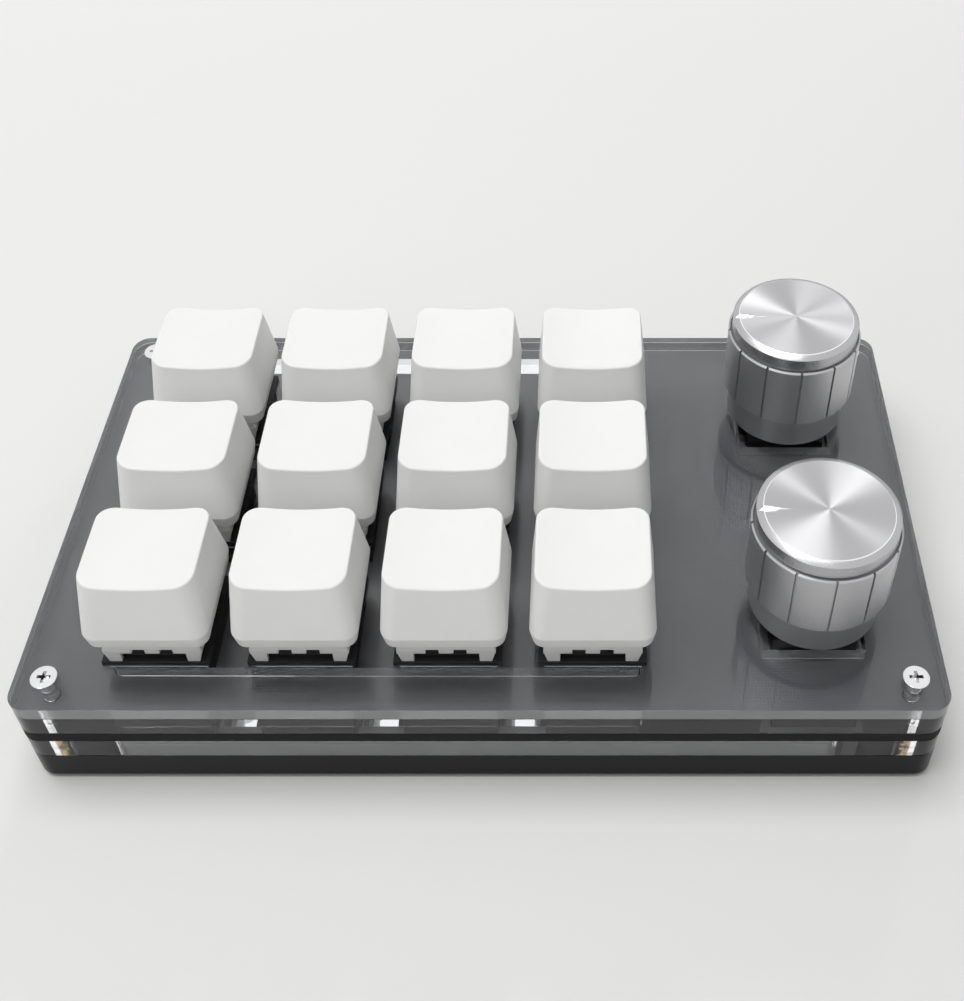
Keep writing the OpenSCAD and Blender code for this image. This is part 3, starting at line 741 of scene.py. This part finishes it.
class KEYPAD_OT_sheets(bpy.types.Operator):
    """Makes the clear sheets, the board and the black base"""

    bl_idname = "keypad.sheets"
    bl_label = "Sheets"

    def execute(self, context):
        s = sizes()
        low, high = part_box("base_plate")
        case_w, case_d = high.x - low.x, high.y - low.y
        outline = rounded_rect(case_w, case_d, s.corner_r, arc_steps=SHEET_ARC_STEPS)
        keys = [middle(f"keycap_{row}_{column}")[:2] for row, column in KEYS]
        knobs = [middle(f"encoder_plunger_{k}")[:2] for k in KNOBS]
        screws = screw_places()
        clear = [clear_cast_acrylic(), pressed_acrylic(), sawn_acrylic(), quiet_acrylic()]
        polished, pressed, sawn, quiet = 0, 1, 2, 3

        knob_holes = [circle_loop(s.knob_hole_r, x, y) for x, y in knobs]
        knob_cuts = [square_loop(s.knob_cut, x - s.knob_cut_left, y) for x, y in knobs]
        screw_holes = [circle_loop(s.screw_hole_r, x, y) for x, y in screws]
        insert_holes = [circle_loop(s.insert_hole_r, x, y) for x, y in screws]
        key_cuts = [square_loop(s.key_cut, x, y) for x, y in keys]

        x0, x1 = keys[0][0] - s.pocket_side, keys[3][0] + s.pocket_side
        y0, y1 = keys[0][1] - s.pocket_front, case_d / 2 - s.pocket_back_wall
        pocket = rounded_rect(x1 - x0, y1 - y0, s.pocket_r, (x0 + x1) / 2, (y0 + y1) / 2,
                              arc_steps=SHEET_ARC_STEPS)

        def sheet(node, slot, loops, materials, pick):
            z0, z1 = middle(node)[2:]
            name = "sheet_" + node
            stand_for(cut_sheet(name, loops, z0, z1, s.sheet_edge, materials, pick), "case", slot, node)

        # Halfway from the last key column to the knobs
        knob_side = (keys[3][0] + knobs[0][0]) / 2

        def upright(normal):
            return abs(normal.z) < 0.6

        def inside(point):
            """Walls of the pockets and cuts, but not of the screws' holes or of the outline."""
            return abs(point.x) < case_w / 2 - s.corner_zone and abs(point.y) < case_d / 2 - 1 * MM

        def plate_finish(point, normal):
            return sawn if upright(normal) else polished if normal.z > 0 else pressed

        def upper_finish(point, normal):
            if not upright(normal):
                return pressed
            # The walls of the knob cuts and the pocket's front wall
            return quiet if inside(point) and (point.x > knob_side or normal.y > 0.5) else polished

        def lower_finish(point, normal):
            return pressed if not upright(normal) else sawn if inside(point) else polished

        def board_finish(point, normal):
            return 1 if upright(normal) else 0

        sheet("top_plate", "clear_acrylic", [outline] + key_cuts + knob_holes + screw_holes, clear,
              plate_finish)
        sheet("upper_frame", "clear_acrylic", [outline, pocket] + knob_cuts + screw_holes, clear,
              upper_finish)
        under = self.under_outline(s, outline, keys[0][0] - s.under_left, knobs[0][0] + s.under_right,
                                   case_d)
        sheet("lower_frame", "clear_acrylic", [under] + self.lug_windows(s, knobs) + insert_holes, clear,
              lower_finish)
        board_holes = [circle_loop(s.board_hole_r, x, y) for x, y in screws]
        board_holes += [circle_loop(s.peg_hole_r, x, y, 32) for x, y in keys]
        board_holes += [circle_loop(s.leg_hole_r, x + dx, y + dy, 16) for x, y in keys for dx, dy in LEGS]
        sheet("circuit_board", "black_board", [outline] + board_holes + self.lug_windows(s, knobs, 0.5),
              [board_mask_with_painted_light(), routed_board_edge()], board_finish)
        sheet("base_plate", "black_acrylic", [outline], [black_cast_acrylic()], lambda point, normal: 0)
        return {"FINISHED"}

    def under_outline(self, s, outline, x0, x1, case_d):
        """The case's outline, let in at the back by the USB socket's notch and the under pocket."""
        socket_x = middle("usb_socket")[0]
        left, right = socket_x - s.usb_notch_w / 2, socket_x + s.usb_notch_w / 2
        back, wall = case_d / 2, case_d / 2 - s.under_wall
        pocket = rounded_rect(x1 - x0, 2 * wall, s.under_r, (x0 + x1) / 2, 0,
                              arc_steps=SHEET_ARC_STEPS)
        first = SHEET_ARC_STEPS + 1
        clockwise = pocket[:first][::-1] + pocket[first:][::-1]
        return (outline[:first] + [(right, back), (right, wall)] + clockwise + [(left, wall), (left, back)]
                + outline[first:])

    def lug_windows(self, s, knobs, share=1.0):
        """Windows round the mounting lugs of the encoders."""
        w, d = s.lug_window_w * share, s.lug_window_d * share
        loops = []
        for x, y in knobs:
            for side in (-1, 1):
                loops.append(rounded_rect(w, d, 0.1 * MM, x + side * s.lug_reach, y, arc_steps=2))
        return loops


class KEYPAD_OT_fasteners(bpy.types.Operator):
    """Makes the corner screws, the knurled inserts and the feet"""

    bl_idname = "keypad.fasteners"
    bl_label = "Fasteners"

    def execute(self, context):
        s = sizes()
        places = [(x, y, 0) for x, y in screw_places()]
        screw = self.screw(s, *middle("corner_screws")[2:])
        joined("screws_corner", copies(screw, places, [f"screw_{i}" for i in range(4)]), "case",
               "bright_steel", "corner_screws")
        insert = self.insert(s, *middle("threaded_inserts")[2:])
        joined("inserts_knurled", copies(insert, places, [f"insert_{i}" for i in range(4)]), "case", "brass",
               "threaded_inserts")
        soften("rubber_feet", 0.2 * MM, "feet_rubber", black_rubber(), "black_rubber")
        return {"FINISHED"}

    def screw(self, s, z0, z1):
        """A flat head with a cone under it, a cross recess and a threaded shank."""
        head_r, shank_r, rim, dome = SCREW_HEAD_R, 1.0 * MM, 0.3 * MM, 0.05 * MM
        cone_z0 = z1 - rim - dome - (head_r - shank_r)
        steps = int((cone_z0 - z0) / (s.thread_pitch / 4))
        profile = [(0, z0), (shank_r - s.thread_deep, z0)]
        profile += [(shank_r, z0 + (cone_z0 - z0) * i / steps) for i in range(1, steps)]
        profile += [(shank_r - s.thread_deep, cone_z0), (head_r - 0.03 * MM, z1 - rim - dome),
                    (head_r, z1 - rim - dome + 0.03 * MM), (head_r, z1 - dome - 0.06 * MM),
                    (head_r - 0.06 * MM, z1 - dome), (head_r * 0.5, z1 - 0.01 * MM), (0, z1)]

        def thread(angle, radius, height):
            if radius != shank_r:
                return radius
            phase = (height / s.thread_pitch - angle / (2 * math.pi)) % 1
            return radius - s.thread_deep * abs(2 * phase - 1)

        piece = lathe("screw", profile, even_angles(32), [nickel_plated_steel()], thread)
        ends = []
        for arm, half, z in ((0.45 * MM, 0.16 * MM, z1 - 1.1 * MM), (1.05 * MM, 0.27 * MM, z1 + 0.1 * MM)):
            quarter = [(arm, -half), (arm, half), (half, half)]
            ends.append([(x * c - y * d, x * d + y * c, z) for c, d in ((1, 0), (0, 1), (-1, 0), (0, -1))
                         for x, y in quarter])
        cut_away(piece, "recess", ends, [])
        return piece

    def insert(self, s, z0, z1):
        """A brass bush with two knurled bands and a waist between them."""
        r, bore, waist = 1.75 * MM, 1.05 * MM, 1.45 * MM
        lower, upper = z0 + (z1 - z0) * 0.6, z0 + (z1 - z0) * 0.74
        soft = 0.1 * MM
        profile = [(bore, z0), (r - soft, z0), (r, z0 + soft), (r, lower - soft), (waist, lower),
                   (waist, upper), (r, upper + soft), (r, z1 - soft), (r - soft, z1), (bore, z1), (bore, z0)]

        def knurl(angle, radius, height):
            if radius != r:
                return radius
            tooth = (angle / (2 * math.pi) * s.knurl_count) % 1
            return radius - 0.16 * MM * abs(2 * tooth - 1)

        return lathe("insert", profile, even_angles(4 * s.knurl_count), [turned_brass()], knurl)


class KEYPAD_OT_switches(bpy.types.Operator):
    """Makes the key switches: bases, hoods, stems, springs, legs and lamps"""

    bl_idname = "keypad.switches"
    bl_label = "Switches"

    def execute(self, context):
        soften("switch_bases", 0.06 * MM, "switch_bases_moulded", black_nylon(), "black_nylon")
        soften("switch_hoods", 0.1 * MM, "switch_hoods_moulded", milky_polycarbonate(),
               "milky_polycarbonate")
        stem_material = milky_acetal()
        for row, column in KEYS:
            give(f"stem_{row}_{column}", stem_material)
        give("switch_contacts", tinned_brass())
        give("key_lights", lamp_resin())
        self.springs()
        return {"FINISHED"}

    def springs(self):
        """Wound springs in place of their plain tubes, which ride on the case at their rest length."""
        wire = nickel_plated_steel()
        for row, column in KEYS:
            node = f"spring_{row}_{column}"
            x, y, z0, z1 = middle(node)
            low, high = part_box(node)
            r = (high.x - low.x) / 2 - sizes().wire_d / 2
            piece = coil(f"spring_wound_{row}_{column}", x, y, z0, z1, r, sizes().wire_d, wire)
            stand_for(piece, "case", "spring_steel", node)
            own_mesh(piece)


class KEYPAD_OT_keycaps(bpy.types.Operator):
    """Makes the moulded keycaps"""

    bl_idname = "keypad.keycaps"
    bl_label = "Keycaps"

    def execute(self, context):
        material = white_abs()
        first = self.cap(sizes(), material)
        places = [(*middle(f"keycap_{row}_{column}")[:2], 0) for row, column in KEYS]
        names = [f"cap_{row}_{column}" for row, column in KEYS]
        for piece, (row, column) in zip(copies(first, places, names), KEYS):
            stand_for(piece, f"key_{row}_{column}", "white_abs", f"keycap_{row}_{column}")
        return {"FINISHED"}

    def cap(self, s, material):
        """One keycap: an upright band, sloping sides, a hollow top, and a hollow inside with its boss."""
        low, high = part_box("keycap_front_1")
        rim_w, z0, z1 = high.x - low.x, low.z, high.z
        band_z1 = z0 + s.cap_band_h
        lip = 0.12 * MM
        tuck = s.cap_tuck

        def hollow(x):
            share = min(1.0, abs(x) / (s.cap_top_w / 2))
            return z1 - s.cap_dish * (1 - share * share)

        def outline(t, inset):
            """The cap's outline at a share t of the way up its slope, drawn in by inset."""
            w = rim_w + (s.cap_top_w - rim_w) * t
            d = rim_w + (s.cap_top_d - rim_w) * t
            r = s.cap_corner_r + (s.cap_top_r - s.cap_corner_r) * t
            return rounded_rect(w - 2 * inset, d - 2 * inset, max(r - inset, 0.05 * MM), 0,
                                s.cap_top_back * t, arc_steps=9, side_steps=8)

        def level(points, z):
            return [(x, y, z) for x, y in points]

        soft = 0.05 * MM
        rings = [level(outline(0, tuck + lip), z0), level(outline(0, tuck), z0 + lip)]
        rings.append(level(outline(0, 0.2 * soft), band_z1 - soft))
        rings.append(level(outline(0.01, 0), band_z1 + soft))
        for t in (0.25, 0.5, 0.75, 1.0):
            ring = []
            for x, y in outline(t, 0):
                top = hollow(x) - s.cap_edge
                ring.append((x, y, band_z1 + (top - band_z1) * t))
            rings.append(ring)
        for step in range(1, 5):
            a = math.pi / 2 * step / 4
            inset = s.cap_edge * (1 - math.cos(a))
            rings.append([(x, y, hollow(x) - s.cap_edge * (1 - math.sin(a))) for x, y in outline(1, inset)])
        inner = outline(1, s.cap_edge)
        for share in (0.94, 0.85, 0.7, 0.5, 0.25, 0.0):
            ring = []
            for x, y in inner:
                px, py = x * share, s.cap_top_back + (y - s.cap_top_back) * share
                ring.append((px, py, hollow(px)))
            rings.append(ring)
        bm = bmesh.new()
        loft(bm, rings, cap_ends=False)

        roof = z1 - s.cap_dish - s.cap_roof
        rim_wall = tuck + 0.8 * s.cap_wall
        inside = [level(outline(0, tuck + lip), z0), level(outline(0, rim_wall), z0 + lip)]
        inside += [level(outline(0, s.cap_wall), band_z1), level(outline(0.62, s.cap_wall), roof)]
        inside.append([(x * 0.3, y * 0.3, roof) for x, y in outline(0.62, s.cap_wall)])
        inside.append([(0, 0, roof) for _ in outline(0, 0)])
        loft(bm, inside, cap_ends=False)
        self.boss(bm, s, middle("switch_hoods")[3] + s.boss_gap, roof + 0.2 * MM)
        return finish_mesh(bm, "cap", [material], even=True)

    def boss(self, bm, s, z0, z1):
        """The round boss with its cross-shaped socket."""
        arm, half = 2.04 * MM, 0.615 * MM
        corner = math.atan2(half, arm)
        marks = []
        for quarter in range(4):
            start = quarter * math.pi / 2
            marks += [start + a for a in (0, corner, math.radians(30), math.pi / 4, math.radians(60),
                                          math.pi / 2 - corner)]

        def cross(angle):
            a = angle % (math.pi / 2)
            a = min(a, math.pi / 2 - a)
            return arm / math.cos(a) if a <= corner + 1e-6 else half / math.sin(a)

        def ring(reach, z):
            return [(reach(a) * math.cos(a), reach(a) * math.sin(a), z) for a in marks]

        deep = z0 + 3.6 * MM
        loft(bm, [ring(lambda a: 0, deep), ring(cross, deep), ring(cross, z0), ring(lambda a: s.boss_r, z0),
                  ring(lambda a: s.boss_r, z1), ring(lambda a: 0, z1)], cap_ends=False)


class KEYPAD_OT_encoders(bpy.types.Operator):
    """Dresses the encoders under the knobs"""

    bl_idname = "keypad.encoders"
    bl_label = "Encoders"

    def execute(self, context):
        plunger = black_nylon()
        soften("encoder_bodies", 0.08 * MM, "encoder_cases_pressed", black_plated_steel(), "plated_steel")
        give("encoder_bushings", nickel_plated_steel())
        shaft = turned_aluminium()
        for k in KNOBS:
            give(f"encoder_plunger_{k}", plunger)
            give(f"encoder_shaft_{k}", shaft)
        return {"FINISHED"}


class KEYPAD_OT_knobs(bpy.types.Operator):
    """Makes the turned knobs"""

    bl_idname = "keypad.knobs"
    bl_label = "Knobs"

    def execute(self, context):
        s = sizes()
        places = [(*middle(f"encoder_plunger_{k}")[:2], 0) for k in KNOBS]
        finishes = [blasted_aluminium(), turned_aluminium(),
                    spun_aluminium("aluminium_spun_face", 0.28, 0.36, 0.9),
                    spun_aluminium("aluminium_spun_band", 0.2, 0.3, 0.6), diamond_cut_aluminium()]
        shell = self.shell(s, finishes)
        for piece, k in zip(copies(shell, places, [f"knob_turned_{k}" for k in KNOBS]), KNOBS):
            stand_for(piece, f"knob_{k}", "turned_aluminium", f"knob_shell_{k}")
        core = self.core(s, finishes[1])
        for piece, k in zip(copies(core, places, [f"skirt_turned_{k}" for k in KNOBS]), KNOBS):
            stand_for(piece, f"knob_{k}", "dark_aluminium", f"knob_core_{k}")
        return {"FINISHED"}

    def flute_angles(self, s, r):
        """Angles round the knob, with a pair at each wall of each flute."""
        half = s.flute_w / 2 / r
        angles = []
        sector = 2 * math.pi / s.flute_count
        for i in range(s.flute_count):
            start = i * sector
            angles += [start - half * 1.05, start - half * 0.8, start + half * 0.8, start + half * 1.05]
            angles += [start + sector * step / 14 for step in range(1, 14)]
        return angles

    def shell(self, s, finishes):
        """The knob's shell: a fluted body, a chamfer, a groove, a smooth band, a bevel and a spun face."""
        z0, z1 = middle("knob_shell_front")[2:]
        r = knob_radius()
        inner = r - s.knob_wall
        neck, band = r - s.neck_inset, r - s.band_inset
        face = band - s.bevel_w
        band_z0 = z1 - s.bevel_h - s.band_h
        chamfer_z1 = band_z0 - s.neck_h
        body_z1 = chamfer_z1 - s.body_chamfer
        soft = 0.08 * MM
        lip_z = z1 - 0.12 * MM
        roof_z0 = z1 - 1.3 * MM
        profile = [
            (0, roof_z0), (inner, roof_z0), (inner, z0), (r - soft, z0), (r, z0 + soft), (r, body_z1),
            (r - s.body_chamfer, chamfer_z1), (neck, chamfer_z1 - s.neck_deep), (neck, band_z0),
            (band - soft, band_z0), (band, band_z0 + soft), (band, z1 - s.bevel_h - soft),
            (band - soft, z1 - s.bevel_h + 0.02 * MM), (face + 0.03 * MM, lip_z), (face, lip_z + 0.02 * MM),
            (face - s.face_lip, z1), (face - s.face_lip - 0.05 * MM, z1),
            (face * 0.75, z1), (face * 0.5, z1), (face * 0.25, z1), (0, z1)
        ]
        body, smooth, spun, turned, bright = 0, 1, 2, 3, 4
        strips = [smooth] * 3 + [body] * 2 + [smooth] * 4 + [turned] * 5 + [bright] + [spun] * 5
        half = s.flute_w / 2 / r

        def reach(angle, radius, height):
            sector = 2 * math.pi / s.flute_count
            off = abs((angle + sector / 2) % sector - sector / 2)
            if off < half and z0 - soft <= height <= body_z1 and radius > inner:
                return min(radius, r - s.flute_deep)
            return radius

        piece = lathe("knob", profile, self.flute_angles(s, r), finishes, reach, strips)
        out = r + 1 * MM
        wide = s.pointer_w / 2 * (out - s.pointer_in) / (r - s.pointer_in)
        deep = s.pointer_deep * (out - s.pointer_in) / (r - s.pointer_in)
        high = z1 + 0.3 * MM
        lift = (high - z1) / deep
        tip = [(-s.pointer_in, wide * lift, high), (-s.pointer_in, -wide * lift, high),
               (-s.pointer_in, 0, z1)]
        end = [(-out, wide * (1 + lift), high), (-out, -wide * (1 + lift), high), (-out, 0, z1 - deep)]
        cut_away(piece, "pointer", [tip, end], [finishes[bright]])
        return piece

    def core(self, s, finish):
        """The smooth skirt and the plug that the shell is pressed on."""
        z0, z1 = middle("knob_core_front")[2:]
        low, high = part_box("knob_core_front")
        skirt_z1 = middle("knob_shell_front")[2]
        r = (high.x - low.x) / 2
        plug = knob_radius() - s.knob_wall - 0.05 * MM
        bore, room_z1, soft = 4.0 * MM, middle("encoder_bushings")[3] + 1 * MM, 0.15 * MM
        profile = [(0, room_z1), (bore, room_z1), (bore, z0 + soft), (bore + soft, z0), (r - soft, z0),
                   (r, z0 + soft), (r, skirt_z1), (plug, skirt_z1), (plug, z1), (0, z1)]
        return lathe("skirt", profile, even_angles(128), [finish])


class KEYPAD_OT_electronics(bpy.types.Operator):
    """Makes the USB socket and dresses the chip"""

    bl_idname = "keypad.electronics"
    bl_label = "Electronics"

    def execute(self, context):
        give("controller_chip", epoxy_resin())
        soften("usb_socket", 0.05 * MM, "usb_socket_pressed", nickel_plated_steel(), "plated_steel")
        return {"FINISHED"}


class KEYPAD_OT_stage(bpy.types.Operator):
    """Makes the floor, the studio light and the camera"""

    bl_idname = "keypad.stage"
    bl_label = "Stage"

    def execute(self, context):
        self.floor()
        self.world(context.scene)
        self.lamps()
        self.camera(context.scene)
        context.scene.view_settings.view_transform = "Standard"
        return {"FINISHED"}

    def floor(self):
        """A wide round floor at the height of the feet."""
        bm = bmesh.new()
        bmesh.ops.create_circle(bm, cap_ends=True, segments=64, radius=3.0)
        floor = finish_mesh(bm, "floor", [pale_floor()])

    def world(self, scene):
        """A pale studio: white to the eye, in metal and in glass, and a little dimmer as light."""
        world = bpy.data.worlds.new("studio")
        scene.world = world
        world.use_nodes = True
        tree = world.node_tree
        tree.nodes.clear()
        path = add(tree, "ShaderNodeLightPath").outputs
        seen = path["Is Camera Ray"]
        for name in ("Is Glossy Ray", "Is Transmission Ray"):
            either = add(tree, "ShaderNodeMath", {"operation": "MAXIMUM"}, {0: seen, 1: path[name]})
            seen = either.outputs["Value"]
        strength = add(tree, "ShaderNodeMapRange", {"To Min": 0.28, "To Max": 1.0}, {"Value": seen})
        shade = add(tree, "ShaderNodeBackground", {"Color": (1, 1, 1, 1)},
                    {"Strength": strength.outputs["Result"]})
        add(tree, "ShaderNodeOutputWorld", links={"Surface": shade.outputs["Background"]})

    def lamps(self):
        """Soft boxes: overhead, front left, and two narrow ones behind for the rays on the spun faces."""
        # Name, place, width and height in metres, and watts
        for box in (("overhead", (-0.12, 0.0, 0.7), 0.5, 0.5, 3.3),
                    ("front_left", (-0.35, -0.6, 0.4), 0.3, 0.3, 0.4),
                    ("rear_left", (-0.01, 0.71, 0.41), 0.07, 0.18, 0.75),
                    ("rear_right", (0.345, 0.645, 0.41), 0.07, 0.18, 0.3)):
            self.soft_box(*box)

    def soft_box(self, name, place, w, h, watts):
        lamp = bpy.data.lights.new(name, "AREA")
        lamp.shape = "RECTANGLE"
        lamp.size = w
        lamp.size_y = h
        lamp.energy = watts
        box = bpy.data.objects.new(name, lamp)
        bpy.context.scene.collection.objects.link(box)
        box.location = place
        aim = Vector((0, 0, 0.02))
        box.rotation_euler = (aim - Vector(place)).to_track_quat("-Z", "Y").to_euler()

    def camera(self, scene):
        """The camera that the photograph was taken with, as fitted to the keys and the knobs."""
        camera = bpy.data.objects.new("camera", bpy.data.cameras.new("camera"))
        scene.collection.objects.link(camera)
        camera.location = CAMERA_PLACE
        camera.rotation_euler = (CAMERA_TILT, 0, 0)
        longest = max(PHOTO_W, PHOTO_H)
        camera.data.sensor_width = SENSOR
        camera.data.lens = FOCAL_PX * SENSOR / longest
        camera.data.shift_x = (PHOTO_W / 2 - CENTRE_X_PX) / longest
        camera.data.shift_y = (CENTRE_Y_PX - PHOTO_H / 2) / longest
        camera.data.clip_start = 0.01
        scene.camera = camera


class VIEW3D_PT_keypad(bpy.types.Panel):
    """Lists the keypad's makers and its sizes and colours"""

    bl_label = "Macro keypad"
    bl_idname = "VIEW3D_PT_keypad"
    bl_space_type = "VIEW_3D"
    bl_region_type = "UI"
    bl_category = "Keypad"

    def draw(self, context):
        for operator in OPERATORS:
            self.layout.operator(operator.bl_idname)
        for group in (context.scene.keypad_sizes, context.scene.keypad_colours):
            for name in group.bl_rna.properties.keys():
                if name not in ("rna_type", "name"):
                    self.layout.prop(group, name)


OPERATORS = (KEYPAD_OT_stage, KEYPAD_OT_sheets, KEYPAD_OT_fasteners, KEYPAD_OT_switches, KEYPAD_OT_keycaps,
             KEYPAD_OT_encoders, KEYPAD_OT_knobs, KEYPAD_OT_electronics)
CLASSES = (KeypadSizes, KeypadColours, *OPERATORS, VIEW3D_PT_keypad)


def register():
    for cls in CLASSES:
        bpy.utils.register_class(cls)
    bpy.types.Scene.keypad_sizes = PointerProperty(type=KeypadSizes)
    bpy.types.Scene.keypad_colours = PointerProperty(type=KeypadColours)


def unregister():
    del bpy.types.Scene.keypad_colours
    del bpy.types.Scene.keypad_sizes
    for cls in reversed(CLASSES):
        bpy.utils.unregister_class(cls)


def main():
    register()
    bpy.ops.keypad.stage()
    bpy.ops.keypad.sheets()
    bpy.ops.keypad.fasteners()
    bpy.ops.keypad.switches()
    bpy.ops.keypad.keycaps()
    bpy.ops.keypad.encoders()
    bpy.ops.keypad.knobs()
    bpy.ops.keypad.electronics()


if __name__ == "__main__":
    main()
